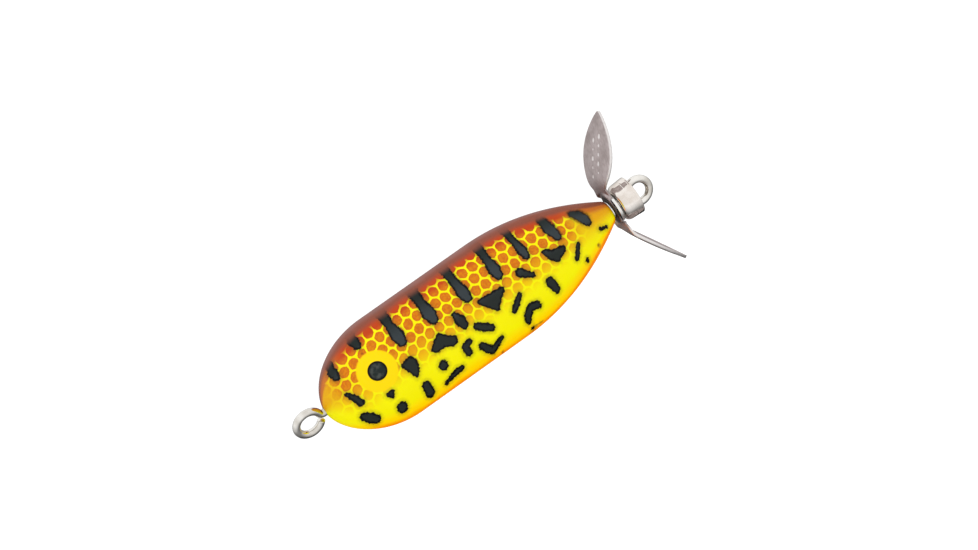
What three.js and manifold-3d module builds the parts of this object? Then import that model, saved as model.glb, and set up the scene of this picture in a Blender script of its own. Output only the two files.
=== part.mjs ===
// Propeller surface bait: a hollow two-piece moulded body with a screw eye in the nose and a
// two-bladed propeller, two washers and a bell cup turning on the shank of the tail screw eye.
//
// Units are millimetres. The origin is the centre of the nose eye, where the line is tied.
// +X runs along the bait's axis to the tail, +Z is its back and -Y its left flank.

import * as THREE from 'three';
import { mergeVertices } from 'three/addons/utils/BufferGeometryUtils.js';
import Module from 'manifold-3d';

const wasm = await Module();
wasm.setup();

// ---- driving dimensions -------------------------------------------------------------------

const BODY_LENGTH = 47.6;
const BODY_RADIUS = 7.5;
const NOSE_LENGTH = 10.8; // the blunt nose, up to full radius
const TAIL_LENGTH = 19.3; // the taper, from full radius to the tail face
const TAIL_FACE_RADIUS = 1.55;
const WALL = 1.1;
const SEAM_GAP = 0.1; // between the two halves

const WIRE_RADIUS = 0.55;
const WIRE_BEND_RADIUS = 0.6; // where the shank turns into the ring
const RING_END_GAP = 0.08; // between the ring's cut end and the shank
const NOSE_RING_RADIUS = 1.86; // to the middle of the wire
const TAIL_RING_RADIUS = 1.7;
const NOSE_RING_ROLL = 46; // degrees that each ring's plane is turned about the axis
const TAIL_RING_ROLL = 28;
const THREAD_PITCH = 0.62;
const THREAD_CREST = 0.65; // radius over the thread
const THREAD_SHANK = 0.6; // plain wire between the body's end face and the first thread
const SCREW_DEPTH = 7.2; // how far each screw goes into the body

const AXLE_CLEARANCE = 0.16; // radial, between the axle and what turns on it
const STACK_GAP = 0.1; // along the axle, between the pieces on it
const FRONT_WASHER = { radius: 1.35, thickness: 0.25 };
const REAR_WASHER = { radius: 2.2, thickness: 0.3 };
const BELL = { radius: 2.82, length: 2.9, wall: 0.32, shoulder: 0.95, flare: 0.14, lip: 0.35 };
const BELL_PLAY = 1.1; // between the bell's end wall and the wire's bend that retains it

const BLADE = {
  thickness: 0.3,
  hubRadius: 2.05,
  neckWidth: 1.9,
  width: 6.8,
  length: 13.65, // from the axle to the tip, along the metal
  bendStart: 2.0, // distance from the axle where the sweep begins
  bendEnd: 4.6,
  sweep: 32.5, // degrees back from square to the axle
  pitch: 9, // degrees of twist about the blade's own length
  dish: 0.35, // depth of the blade's hollow
  rootStart: 0.9, // where the strip and its leaf begin, measured from the axle
  leafStart: 1.6,
  tipWidth: 0.24,
};
const PROPELLER_BORE_RADIUS = 0.95; // a loose fit, so that the blades spin freely
const PROPELLER_ROLL = 16; // degrees from upright, as the blades stand at rest

const BALLAST = { radius: 1.9, length: 8, centreX: 35, centreZ: -3.2 };
const EYE = { fromNose: 8.2, height: 0.45, radius: 1.32, rise: 0.1 }; // the raised pupil

const NOSE_X = NOSE_RING_RADIUS + WIRE_RADIUS + 0.06; // the tip of the nose
const TAIL_X = NOSE_X + BODY_LENGTH;
const BORE_RADIUS = WIRE_RADIUS + AXLE_CLEARANCE;
const SCREW_BORE_RADIUS = THREAD_CREST + 0.2;

// ---- joining and cutting ------------------------------------------------------------------

function toSolid(geometry) {
  const plain = geometry.clone();
  plain.deleteAttribute('normal');
  plain.deleteAttribute('uv');
  const merged = mergeVertices(plain, 1e-4);
  return new wasm.Manifold(new wasm.Mesh({
    numProp: 3,
    vertProperties: new Float32Array(merged.attributes.position.array),
    triVerts: new Uint32Array(merged.index.array),
  }));
}

function toGeometry(solid) {
  const mesh = solid.getMesh();
  const geometry = new THREE.BufferGeometry();
  geometry.setAttribute('position', new THREE.BufferAttribute(new Float32Array(mesh.vertProperties), 3));
  geometry.setIndex(new THREE.BufferAttribute(new Uint32Array(mesh.triVerts), 1));
  geometry.computeVertexNormals();
  return geometry;
}

// A solid turned about the X axis. The outline's points are [x, radius], with x rising along
// the outer side.
function turned(outline, segments) {
  const points = outline.map(([x, radius]) => new THREE.Vector2(radius, x));
  return toSolid(new THREE.LatheGeometry(points, segments).rotateZ(-Math.PI / 2));
}

function rodAlongX(radius, fromX, toX, segments = 20) {
  return turned([[fromX, 0], [fromX, radius], [toX, radius], [toX, 0]], segments);
}

function rodAlongY(radius, fromY, toY, x, z, segments = 16) {
  const rod = new THREE.CylinderGeometry(radius, radius, toY - fromY, segments);
  return toSolid(rod.translate(x, (fromY + toY) / 2, z));
}

function block(sizeX, sizeY, sizeZ, x, y, z) {
  return toSolid(new THREE.BoxGeometry(sizeX, sizeY, sizeZ).translate(x, y, z));
}

// ---- the body ------------------------------------------------------------------------------

const OUTER_SEGMENTS = 44;
const INNER_SEGMENTS = 28;

// Radius of the body at a distance from the tip of the nose: a blunt ellipse, a straight
// stretch and a taper that steepens towards the tail.
function bodyRadius(distance) {
  if (distance < NOSE_LENGTH) {
    const share = 1 - distance / NOSE_LENGTH;
    return BODY_RADIUS * (1 - share ** 2) ** (1 / 1.8);
  }
  const share = Math.max(0, (distance - (BODY_LENGTH - TAIL_LENGTH)) / TAIL_LENGTH);
  return BODY_RADIUS - (BODY_RADIUS - TAIL_FACE_RADIUS) * share ** 1.9;
}

// Points along the outline, closer together where it curves most, moved in by a wall.
function bodyOutline(wall) {
  const noseSteps = 9;
  const tailSteps = 8;
  const distances = [];
  for (let i = 0; i <= noseSteps; i++) {
    distances.push(NOSE_LENGTH * (1 - Math.cos((i / noseSteps) * Math.PI / 2)));
  }
  for (let i = 0; i <= tailSteps; i++) {
    distances.push(BODY_LENGTH - TAIL_LENGTH * (1 - i / tailSteps));
  }
  const shrink = (BODY_LENGTH - 2 * wall) / BODY_LENGTH;
  const outline = distances.map((d) => [
    NOSE_X + wall + d * shrink,
    Math.max(0, bodyRadius(d) - wall),
  ]);
  const endX = outline[outline.length - 1][0];
  return [...outline.filter(([, radius], i) => i === 0 || radius > 0), [endX, 0]];
}

const FIT_GAP = 0.25; // round the screws and the ballast
const BOSS = { radius: 1.9, beyondScrew: 2 };
const BULKHEAD = { x: NOSE_X + 14.5, holeRadius: 2.4 };
const RIB_THICKNESS = 0.9;
const SADDLE_RIB_INSET = 1.2; // from each end of the ballast

// The whole body before it is split: a hollow skin with a boss for each screw, a bulkhead
// behind the head and a saddle for the ballast.
function hollowBody() {
  const outer = turned(bodyOutline(0), OUTER_SEGMENTS);
  const inner = turned(bodyOutline(WALL), INNER_SEGMENTS);
  const across = 20; // wider than the body
  const ribFromCentre = BALLAST.length / 2 - SADDLE_RIB_INSET;
  const inside = [
    rodAlongX(BOSS.radius, NOSE_X, NOSE_X + SCREW_DEPTH + BOSS.beyondScrew),
    rodAlongX(BOSS.radius, TAIL_X - SCREW_DEPTH - BOSS.beyondScrew, TAIL_X),
    block(RIB_THICKNESS, across, across, BULKHEAD.x, 0, 0),
    block(RIB_THICKNESS, across, across, BALLAST.centreX - ribFromCentre, 0, -BODY_RADIUS),
    block(RIB_THICKNESS, across, across, BALLAST.centreX + ribFromCentre, 0, -BODY_RADIUS),
  ];
  let body = outer.subtract(inner);
  for (const piece of inside) {
    body = body.add(piece.intersect(outer));
  }
  const ballastRoom = rodAlongX(
    BALLAST.radius + FIT_GAP,
    BALLAST.centreX - BALLAST.length / 2 - FIT_GAP,
    BALLAST.centreX + BALLAST.length / 2 + FIT_GAP,
  ).translate([0, 0, BALLAST.centreZ]);
  const noseBore = rodAlongX(SCREW_BORE_RADIUS, NOSE_X - 1, NOSE_X + SCREW_DEPTH + FIT_GAP);
  const tailBore = rodAlongX(SCREW_BORE_RADIUS, TAIL_X - SCREW_DEPTH - FIT_GAP, TAIL_X + 1);
  const airHole = rodAlongX(BULKHEAD.holeRadius, BULKHEAD.x - RIB_THICKNESS, BULKHEAD.x + RIB_THICKNESS);
  return body.subtract(ballastRoom).subtract(noseBore).subtract(tailBore).subtract(airHole);
}

const PIN = { radius: 0.55, reach: 1.3, postRadius: 1.15 };
const PIN_PLACES = [ // x and z
  [NOSE_X + 9, 4.4],
  [NOSE_X + 22, 4.9],
  [NOSE_X + 34, 3.6],
  [NOSE_X + 20, -4.9],
];

// The raised pupil of the eye on one side, sunk into the wall behind it.
function pupil(side) {
  const faceY = bodyRadius(EYE.fromNose) + EYE.rise;
  const [fromY, toY] = side < 0 ? [-faceY, WALL - faceY] : [faceY - WALL, faceY];
  return rodAlongY(EYE.radius, fromY, toY, NOSE_X + EYE.fromNose, EYE.height, 24);
}

// One half of the body. side is -1 for the left, which has the locating pins, and 1 for the
// right, which has their sockets.
function bodyHalf(side) {
  const outer = turned(bodyOutline(0), OUTER_SEGMENTS);
  const width = 30; // wider than the body
  const halfSpace = block(2 * BODY_LENGTH, width, width, BODY_LENGTH / 2, side * (width + SEAM_GAP) / 2, 0);
  let half = hollowBody().add(pupil(side));
  for (const [x, z] of PIN_PLACES) {
    const [fromY, toY] = side < 0 ? [-BODY_RADIUS, 0] : [0, BODY_RADIUS];
    half = half.add(rodAlongY(PIN.postRadius, fromY, toY, x, z).intersect(outer));
  }
  half = half.intersect(halfSpace);
  for (const [x, z] of PIN_PLACES) {
    half = side < 0
      ? half.add(rodAlongY(PIN.radius, -1, PIN.reach, x, z, 10))
      : half.subtract(rodAlongY(PIN.radius + FIT_GAP, -1, PIN.reach + FIT_GAP, x, z, 12));
  }
  return half;
}

// ---- the screw eyes ------------------------------------------------------------------------

// The wire's centre line, in the ring's plane: out along the shank, round a small bend and
// then round the ring until it closes on the shank. The ring's centre is the origin, and the
// shank comes from -X.
class EyeWire extends THREE.Curve {
  constructor(ringRadius, shankStart) {
    super();
    this.ringRadius = ringRadius;
    this.shankStart = shankStart;
    this.bendX = -Math.sqrt((ringRadius + WIRE_BEND_RADIUS) ** 2 - WIRE_BEND_RADIUS ** 2);
    this.startAngle = Math.PI - Math.atan2(WIRE_BEND_RADIUS, -this.bendX);
    const bendTurn = this.startAngle - Math.PI / 2;
    const closing = Math.asin((WIRE_RADIUS + RING_END_GAP) / (ringRadius - WIRE_RADIUS));
    this.lengths = [
      this.bendX - shankStart,
      WIRE_BEND_RADIUS * bendTurn,
      ringRadius * (this.startAngle + Math.PI - closing),
    ];
  }

  getPoint(t, target = new THREE.Vector3()) {
    const [shank, bend, ring] = this.lengths;
    const distance = t * (shank + bend + ring);
    if (distance <= shank) {
      return target.set(this.shankStart + distance, 0, 0);
    }
    if (distance <= shank + bend) {
      const angle = (distance - shank) / WIRE_BEND_RADIUS;
      return target.set(
        this.bendX + WIRE_BEND_RADIUS * Math.sin(angle),
        0,
        WIRE_BEND_RADIUS * (1 - Math.cos(angle)),
      );
    }
    const angle = this.startAngle - (distance - shank - bend) / this.ringRadius;
    return target.set(this.ringRadius * Math.cos(angle), 0, this.ringRadius * Math.sin(angle));
  }
}

function circle(radius, sides) {
  const shape = new THREE.Shape();
  for (let i = 0; i < sides; i++) {
    const angle = (i / sides) * 2 * Math.PI;
    shape[i ? 'lineTo' : 'moveTo'](radius * Math.cos(angle), radius * Math.sin(angle));
  }
  return shape;
}

// A wood-screw thread along the shank, with a pointed end. It starts at startX and its point
// is at endX, further towards -X.
function thread(startX, endX) {
  const core = WIRE_RADIUS * 0.8;
  const outline = [[endX, 0]];
  let x = endX + THREAD_PITCH * 1.5;
  while (x + THREAD_PITCH < startX) {
    outline.push([x, core], [x + THREAD_PITCH / 2, THREAD_CREST]);
    x += THREAD_PITCH;
  }
  outline.push([x, core], [startX, core], [startX, 0]);
  return turned(outline, 10);
}

function screwEye(ringRadius, shankStart, threadStart, threadEnd) {
  const wire = new THREE.ExtrudeGeometry(circle(WIRE_RADIUS, 8), {
    steps: 40,
    bevelEnabled: false,
    extrudePath: new EyeWire(ringRadius, shankStart),
  });
  return toSolid(wire).add(thread(threadStart, threadEnd));
}

// ---- the pieces on the axle ------------------------------------------------------------------

function washer({ radius, thickness }, fromX) {
  const toX = fromX + thickness;
  const outline = [
    [fromX, BORE_RADIUS],
    [fromX, radius],
    [toX, radius],
    [toX, BORE_RADIUS],
    [fromX, BORE_RADIUS],
  ];
  return turned(outline, 28);
}

// A cup with its closed end at fromX, a rounded shoulder and a slightly flared mouth.
function bell(fromX) {
  const { radius, length, wall, shoulder, flare, lip } = BELL;
  const toX = fromX + length;
  const arc = (inset, steps) => Array.from({ length: steps + 1 }, (_, i) => {
    const angle = (i / steps) * Math.PI / 2;
    const reach = shoulder - inset;
    return [
      fromX + shoulder - reach * Math.cos(angle),
      radius - flare - shoulder + reach * Math.sin(angle),
    ];
  });
  const outline = [
    [fromX, BORE_RADIUS],
    ...arc(0, 6),
    [toX - lip, radius - flare / 3],
    [toX, radius],
    [toX, radius - wall],
    ...arc(wall, 4).reverse(),
    [fromX + wall, BORE_RADIUS],
    [fromX, BORE_RADIUS],
  ];
  return turned(outline, 28);
}

// How far the blade's share of the way along is past the bend: 0 before it, 1 after it.
function bendShare(distance) {
  const share = (distance - BLADE.bendStart) / (BLADE.bendEnd - BLADE.bendStart);
  return THREE.MathUtils.smoothstep(share, 0, 1);
}

// The blade's half width at a distance from the axle: a neck, then a pointed leaf.
function bladeHalfWidth(distance) {
  const share = Math.max(0, (distance - BLADE.leafStart) / (BLADE.length - BLADE.leafStart));
  const leaf = (BLADE.width / 2) * Math.sin(Math.PI * Math.min(1, share) ** 0.84) ** 0.85;
  const neck = (BLADE.neckWidth / 2) * Math.max(0, 1 - share) ** 2;
  return Math.max(leaf, neck, BLADE.tipWidth / 2);
}

// One stamped blade, standing up from the axle along +Z: a flat strip widened to a leaf,
// swept back, twisted and slightly hollowed.
function blade(hubX) {
  const stations = 18;
  const rows = 4;
  const strip = new THREE.BoxGeometry(BLADE.length, BLADE.width, BLADE.thickness, stations, rows, 1);
  const position = strip.attributes.position;
  for (let i = 0; i < position.count; i++) {
    const along = position.getX(i) / BLADE.length + 0.5;
    const across = position.getY(i) / (BLADE.width / 2);
    const layer = position.getZ(i);
    const distance = BLADE.rootStart + along * (BLADE.length - BLADE.rootStart);
    const point = bladePoint(distance, across, layer);
    position.setXYZ(i, hubX + point.x, point.y, point.z);
  }
  return toSolid(strip);
}

// A point of the blade: distance along the metal from the axle, across from -1 to 1 and layer
// through the thickness. The strip's path is summed in small steps through the bend.
function bladePoint(distance, across, layer) {
  const sweep = THREE.MathUtils.degToRad(BLADE.sweep);
  const pitch = THREE.MathUtils.degToRad(BLADE.pitch);
  const steps = 40;
  const path = new THREE.Vector3();
  for (let i = 0; i < steps; i++) {
    const angle = sweep * bendShare((distance * (i + 0.5)) / steps);
    path.x += Math.sin(angle) * distance / steps;
    path.z += Math.cos(angle) * distance / steps;
  }
  const bent = bendShare(distance);
  const leaning = new THREE.Matrix4().makeRotationY(sweep * bent);
  const chord = new THREE.Vector3(Math.sin(pitch * bent), -Math.cos(pitch * bent), 0);
  const normal = new THREE.Vector3(Math.cos(pitch * bent), Math.sin(pitch * bent), 0);
  chord.applyMatrix4(leaning);
  normal.applyMatrix4(leaning);
  const widthShare = bladeHalfWidth(distance) * 2 / BLADE.width;
  const hollow = -BLADE.dish * bent * (1 - across ** 2) * widthShare;
  return path
    .addScaledVector(chord, across * bladeHalfWidth(distance))
    .addScaledVector(normal, layer + hollow);
}

function propeller(fromX) {
  const middle = fromX + BLADE.thickness / 2;
  const hub = rodAlongX(BLADE.hubRadius, fromX, fromX + BLADE.thickness, 32);
  const oneBlade = blade(middle);
  const otherBlade = oneBlade.rotate([180, 0, 0]);
  const bore = rodAlongX(PROPELLER_BORE_RADIUS, fromX - 1, fromX + BLADE.thickness + 1);
  return hub.add(oneBlade).add(otherBlade).subtract(bore);
}

// ---- the assembly --------------------------------------------------------------------------

const bait = new THREE.Group();

function addPiece(name, solid, { color, roughness, metalness }, parent = bait) {
  const material = new THREE.MeshStandardMaterial({ color, roughness, metalness });
  const mesh = new THREE.Mesh(toGeometry(solid), material);
  mesh.name = name;
  parent.add(mesh);
  return mesh;
}

const PAINTED = { color: 0xf0c21c, roughness: 0.25, metalness: 0 };
const NICKEL = { color: 0xc9c6c2, roughness: 0.18, metalness: 1 };
const BLADE_METAL = { color: 0xa69a98, roughness: 0.3, metalness: 1 };
const WASHER_METAL = { color: 0xd8d6d0, roughness: 0.2, metalness: 1 };
const BALLAST_METAL = { color: 0x5b5d60, roughness: 0.6, metalness: 0.8 };

addPiece('left_body_half', bodyHalf(-1), PAINTED);
addPiece('right_body_half', bodyHalf(1), PAINTED);

const ballast = rodAlongX(BALLAST.radius, -BALLAST.length / 2, BALLAST.length / 2, 24);
addPiece('ballast_slug', ballast, BALLAST_METAL).position.set(BALLAST.centreX, 0, BALLAST.centreZ);

// The nose eye's shank points towards the tail, so the eye is turned end for end.
const noseEye = screwEye(
  NOSE_RING_RADIUS,
  -(NOSE_X + 1),
  -(NOSE_X + THREAD_SHANK),
  -(NOSE_X + SCREW_DEPTH),
);
const noseEyeFrame = new THREE.Group();
noseEyeFrame.rotation.set(THREE.MathUtils.degToRad(NOSE_RING_ROLL), 0, 0);
const noseEyeMesh = addPiece('nose_screw_eye', noseEye, NICKEL, noseEyeFrame);
noseEyeMesh.rotation.set(0, 0, Math.PI);
bait.add(noseEyeFrame);

let stackX = TAIL_X + STACK_GAP;
addPiece('front_washer', washer(FRONT_WASHER, stackX), WASHER_METAL);
stackX += FRONT_WASHER.thickness + STACK_GAP;

const propellerMesh = addPiece('propeller', propeller(stackX), BLADE_METAL);
propellerMesh.rotation.set(THREE.MathUtils.degToRad(PROPELLER_ROLL), 0, 0);
stackX += BLADE.thickness + STACK_GAP;

addPiece('rear_washer', washer(REAR_WASHER, stackX), WASHER_METAL);
stackX += REAR_WASHER.thickness + STACK_GAP;

addPiece('bell_cup', bell(stackX), NICKEL);

// The tail eye's ring starts inside the bell, which its bend holds on the axle.
const tailRingX = stackX + BELL.wall + BELL_PLAY + WIRE_RADIUS + TAIL_RING_RADIUS;
const tailEye = screwEye(
  TAIL_RING_RADIUS,
  TAIL_X - 1 - tailRingX,
  TAIL_X - THREAD_SHANK - tailRingX,
  TAIL_X - SCREW_DEPTH - tailRingX,
);
const tailEyeMesh = addPiece('tail_screw_eye', tailEye, NICKEL);
tailEyeMesh.position.set(tailRingX, 0, 0);
tailEyeMesh.rotation.set(THREE.MathUtils.degToRad(TAIL_RING_ROLL), 0, 0);

export default bait;
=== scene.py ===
# The looks of a propeller surface bait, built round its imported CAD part.
# Lengths are in millimetres in this script, and MM turns them into metres for Blender.
# The bait points along +X from the nose eye's centre, with its back up and its left flank at -Y.

import math

import bpy
import numpy as np
from mathutils import Matrix, Vector


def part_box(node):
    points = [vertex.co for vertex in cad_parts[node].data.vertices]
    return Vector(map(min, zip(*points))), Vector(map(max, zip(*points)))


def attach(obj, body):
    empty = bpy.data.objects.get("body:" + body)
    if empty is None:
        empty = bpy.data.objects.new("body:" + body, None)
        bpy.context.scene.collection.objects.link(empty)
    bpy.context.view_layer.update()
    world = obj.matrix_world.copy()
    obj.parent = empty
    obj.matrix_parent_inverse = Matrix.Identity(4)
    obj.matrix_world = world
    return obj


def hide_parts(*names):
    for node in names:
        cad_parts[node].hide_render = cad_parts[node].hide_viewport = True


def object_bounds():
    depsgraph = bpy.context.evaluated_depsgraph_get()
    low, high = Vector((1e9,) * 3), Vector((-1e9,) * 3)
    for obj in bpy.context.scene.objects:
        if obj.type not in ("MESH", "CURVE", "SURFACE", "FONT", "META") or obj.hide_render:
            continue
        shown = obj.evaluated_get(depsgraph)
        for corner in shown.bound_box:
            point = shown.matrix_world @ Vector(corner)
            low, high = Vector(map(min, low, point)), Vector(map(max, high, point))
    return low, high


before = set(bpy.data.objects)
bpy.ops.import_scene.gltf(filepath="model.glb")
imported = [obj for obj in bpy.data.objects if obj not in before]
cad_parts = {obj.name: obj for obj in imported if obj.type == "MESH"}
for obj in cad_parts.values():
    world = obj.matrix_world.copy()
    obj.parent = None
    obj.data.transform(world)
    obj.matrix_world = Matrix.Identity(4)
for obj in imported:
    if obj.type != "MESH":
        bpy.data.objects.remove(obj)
packed_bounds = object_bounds()

MM = 0.001


def corners(node):
    """Lowest and highest corner of a CAD node."""
    low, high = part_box(node)
    return low / MM, high / MM


# ---- sizes ---------------------------------------------------------------------------------

NOSE_X = corners("left_body_half")[0].x
TAIL_X = corners("left_body_half")[1].x
BODY_LENGTH = TAIL_X - NOSE_X
BODY_RADIUS = corners("left_body_half")[1].z
NOSE_LENGTH = 10.8  # the blunt nose, up to full radius
NOSE_POWER = 1.8  # 2 would be an ellipse
NOSE_START = 0.115  # angle at which its skin leaves the wire's hole, in radians
TAIL_LENGTH = 19.3  # the taper, from full radius to the tail face
TAIL_POWER = 2.04  # 2 would be a parabola
TAIL_FACE_RADIUS = 1.55
WALL = 1.1
SEAM_GAP = 0.004  # between the halves, at their joined edges
SEAM_GROOVE = 0.006  # how far the skin dips at the seam, as a share of the radius
SEAM_GROOVE_WIDTH = 0.12
EYE_X = NOSE_X + 8.2
EYE_Z = 0.45
EYE_RING_EDGE = (2.9, 2.6)  # between these radii the ring's yellow fades in
PUPIL_RADIUS = 1.45
PUPIL_HEIGHT = 0.12

WIRE_RADIUS = 0.55
WIRE_ROOM = 0.06  # round the shank where it enters the body
WIRE_BEND_RADIUS = 0.6
WIRE_END_BEVEL = 0.06
WIRE_END_SHARE = 0.86  # of the wire's radius, which the bevel leaves
RING_END_GAP = 0.08
NOSE_RING_RADIUS = 1.86  # to the middle of the wire
TAIL_RING_RADIUS = 1.7
NOSE_RING_ROLL = math.radians(46)  # how far each ring's plane is turned about the bait's axis
TAIL_RING_ROLL = math.radians(28)
TAIL_RING_X = corners("tail_screw_eye")[1].x - WIRE_RADIUS - TAIL_RING_RADIUS
THREAD_PITCH = 0.62
THREAD_CREST = 0.65
THREAD_ROOT = 0.8 * WIRE_RADIUS
THREAD_SHANK = 0.6  # plain wire between the body's end face and the first thread
SCREW_DEPTH = 7.2
SCREW_POINT = 1.2

# Places along the axle. The CAD leaves 0.1 mm between the pieces. Here the washers and the
# propeller sit closer together, and the bell starts a little further back.
FRONT_WASHER_X = (TAIL_X + 0.03, TAIL_X + 0.28)
HUB_X = TAIL_X + 0.48
REAR_WASHER_X = (TAIL_X + 0.68, TAIL_X + 1.10)
BELL_X = (TAIL_X + 1.30, corners("bell_cup")[1].x - 0.1)
BORE_RADIUS = 0.71
WASHER_EDGE = 0.07
BELL_WALL = 0.3
BELL_SHOULDER = 0.85
BELL_RIM = 0.13
BELL_FLARE = 0.12
BELL_GROOVES = (1.1, 0.25)  # how far forward of the rim they are
BELL_GROOVE_DEPTH = 0.02
BELL_GROOVE_WIDTH = 0.05

BLADE_THICKNESS = 0.3
BLADE_LENGTH = 13.65  # from the hub's middle to a tip, along the sheet
BLADE_WIDTH = 6.8
BLADE_HOLLOW = 0.35  # how far the leaf's middle is dished forward of its edges
BLADE_BEND = (2.2, 4.8)  # the sheet bends backwards between these distances from the hub's middle
DIMPLES = 10
DIMPLE_DEPTH = 0.07
FIRST_DIMPLE = 4.7  # how far the first one is from the hub's middle
DIMPLE_STEP = 0.62
DIMPLE_ROWS = (-0.5, 0.8)  # how far the two rows are from the blade's middle line
DIMPLE_LENGTH = 0.42  # half of one, along the blade
DIMPLE_WIDTH = 0.26
LEAF_START = 1.6
LEAF_LEAN = 0.97  # under 1 puts a leaf's widest place nearer the hub
LEAF_ROUNDING = 0.78  # under 1 makes its ends blunter
NECK_HALF_WIDTH = 1.75
NECK_END = 2.4  # the sheet's rows lie closer together before it, and towards the tip
HUB_RADIUS = 2.05
FOLD_WIDTH = 0.45  # of the fold by which the twisted neck leaves the flat hub
PROPELLER_BORE_RADIUS = 0.95
PROPELLER_ROLL = math.radians(16)
PROPELLER_LIFT = 0.33  # the loose propeller is caught this far above the axle's middle
SHEET_POINTS = 91  # points across one face of the blade's section

# For each blade: how far it is swept back and its pitch at the neck and along the leaf, in
# degrees, how much thicker its rolled edge is and the radius of the flat hub on its side.
UPPER_BLADE = (33, 15, 15, 0.22, HUB_RADIUS)
LOWER_BLADE = (32, -15, 4, 0.3, HUB_RADIUS + 0.5)


def body_radius(x):
    """Radius of the body at x: a rounded nose, a straight stretch and a taper."""
    distance = np.clip(np.asarray(x, float) - NOSE_X, 0, BODY_LENGTH)
    to_full = np.clip(1 - distance / NOSE_LENGTH, 0, 1)
    into_taper = np.clip((distance - (BODY_LENGTH - TAIL_LENGTH)) / TAIL_LENGTH, 0, 1)
    nose = BODY_RADIUS * (1 - to_full**2) ** (1 / NOSE_POWER)
    tail = BODY_RADIUS - (BODY_RADIUS - TAIL_FACE_RADIUS) * into_taper**TAIL_POWER
    return np.minimum(nose, tail)


# ---- meshes --------------------------------------------------------------------------------


def eased(share):
    """A share from 0 to 1 that starts and ends gently."""
    share = np.clip(share, 0, 1)
    return share**2 * (3 - 2 * share)


def new_mesh(name, vertices, faces):
    """A smooth mesh object from vertices in millimetres."""
    mesh = bpy.data.meshes.new(name)
    mesh.from_pydata([tuple(v) for v in np.asarray(vertices) * MM], [], faces)
    mesh.polygons.foreach_set("use_smooth", [True] * len(mesh.polygons))
    mesh.update()
    made = bpy.data.objects.new(name, mesh)
    bpy.context.scene.collection.objects.link(made)
    return made


def face_outwards(piece):
    """Turns every face of a closed mesh outwards."""
    bpy.context.view_layer.objects.active = piece
    bpy.ops.object.select_all(action="DESELECT")
    piece.select_set(True)
    bpy.ops.object.mode_set(mode="EDIT")
    bpy.ops.mesh.select_all(action="SELECT")
    bpy.ops.mesh.normals_make_consistent(inside=False)
    bpy.ops.object.mode_set(mode="OBJECT")


def strips(rows, columns, rows_closed, columns_closed):
    """Faces of a grid of rows times columns vertices, row by row."""
    faces = []
    for i in range(rows if rows_closed else rows - 1):
        for j in range(columns if columns_closed else columns - 1):
            here = i * columns
            there = (i + 1) % rows * columns
            k = (j + 1) % columns
            faces.append((here + j, here + k, there + k, there + j))
    return faces


def turned(name, outline, segments=96):
    """A ring-like piece: a closed outline of (x, radius) points turned about the X axis."""
    x, radius = np.array(outline, float).T
    angles = np.linspace(0, 2 * math.pi, segments, endpoint=False)
    rows = [np.stack([x, radius * np.cos(a), radius * np.sin(a)], 1) for a in angles]
    piece = new_mesh(name, np.concatenate(rows), strips(segments, len(x), True, True))
    face_outwards(piece)
    return piece


def store(piece, measure, values):
    """Keeps one number per vertex on a piece, for its material."""
    attribute = piece.data.attributes.new(measure, "FLOAT", "POINT")
    attribute.data.foreach_set("value", values.astype(np.float32))


def arc(centre_x, centre_radius, size, start, end, steps):
    """Points of a round edge on an outline, between two angles in degrees."""
    angles = np.radians(np.linspace(start, end, steps + 1))
    return [(centre_x + size * math.cos(a), centre_radius + size * math.sin(a)) for a in angles]


# ---- the painted body ------------------------------------------------------------------------

# Black bars down from the back, front to rear: x at the top, x at the foot, height of the foot
# above the axis and widest half width.
BARS = [
    (6.35, 6.05, 3.0, 0.60),
    (10.8, 10.6, 4.8, 0.68),
    (15.8, 15.6, 1.9, 0.86),
    (20.9, 20.7, 1.9, 0.90),
    (26.1, 26.0, 1.6, 0.82),
    (31.5, 31.2, 1.7, 0.80),
    (35.8, 35.8, 1.7, 0.66),
]

# Black strokes, as dabs of (x, z, radius) joined up: those below the bars from front to rear,
# then the two thick bars on the taper and two small strokes.
STROKES = [
    [(5.8, 0.2, 0.24), (6.4, -0.8, 0.4), (6.7, -1.7, 0.46)],
    [(6.1, -3.5, 0.48), (6.7, -4.1, 0.64), (7.3, -4.7, 0.54)],
    [(10.9, -5.4, 0.7)],
    [(15.1, -4.9, 0.56), (15.1, -5.9, 0.66)],
    [(18.4, -4.0, 0.63)],
    [(17.6, -6.2, 0.17), (18.6, -5.9, 0.27), (19.8, -5.7, 0.38), (20.5, -5.7, 0.27)],
    [(23.3, 0.7, 0.3), (23.5, -0.4, 0.7), (23.6, -1.2, 0.54)],
    [(23.0, -3.4, 0.35), (22.2, -3.7, 0.5), (22.2, -4.5, 0.5)],
    [(24.9, -2.3, 0.43), (25.7, -3.0, 0.54), (26.5, -3.6, 0.46)],
    [(24.2, -4.9, 0.46), (24.7, -5.6, 0.54), (25.2, -6.2, 0.46), (27.1, -5.5, 0.25)],
    [(30.3, -3.5, 0.32), (31.0, -3.0, 0.4), (32.0, -2.2, 0.32)],
    [(31.4, -5.7, 0.43), (31.7, -5.0, 0.5), (32.5, -4.4, 0.5), (33.4, -4.6, 0.5), (33.6, -4.9, 0.35)],
    [(33.8, 0.15, 0.6), (34.3, -0.4, 0.46), (35.0, -1.0, 0.34)],
    [(36.6, -3.2, 0.66), (36.9, -4.5, 0.48)],
    [(41.6, -2.7, 0.28), (42.2, -2.0, 0.31), (42.8, -1.2, 0.25)],
    [(42.9, -3.7, 0.27)],
    [(40.7, 4.4, 0.6), (40.75, 2.8, 0.86), (41.0, 1.3, 0.62)],
    [(44.85, 2.5, 0.6), (45.4, 1.9, 0.8), (45.75, 1.0, 0.76), (45.85, 0.5, 0.55)],
    [(46.9, -1.3, 0.2), (47.9, -1.55, 0.17)],
    [(31.6, -6.9, 0.18)],
]

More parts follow.
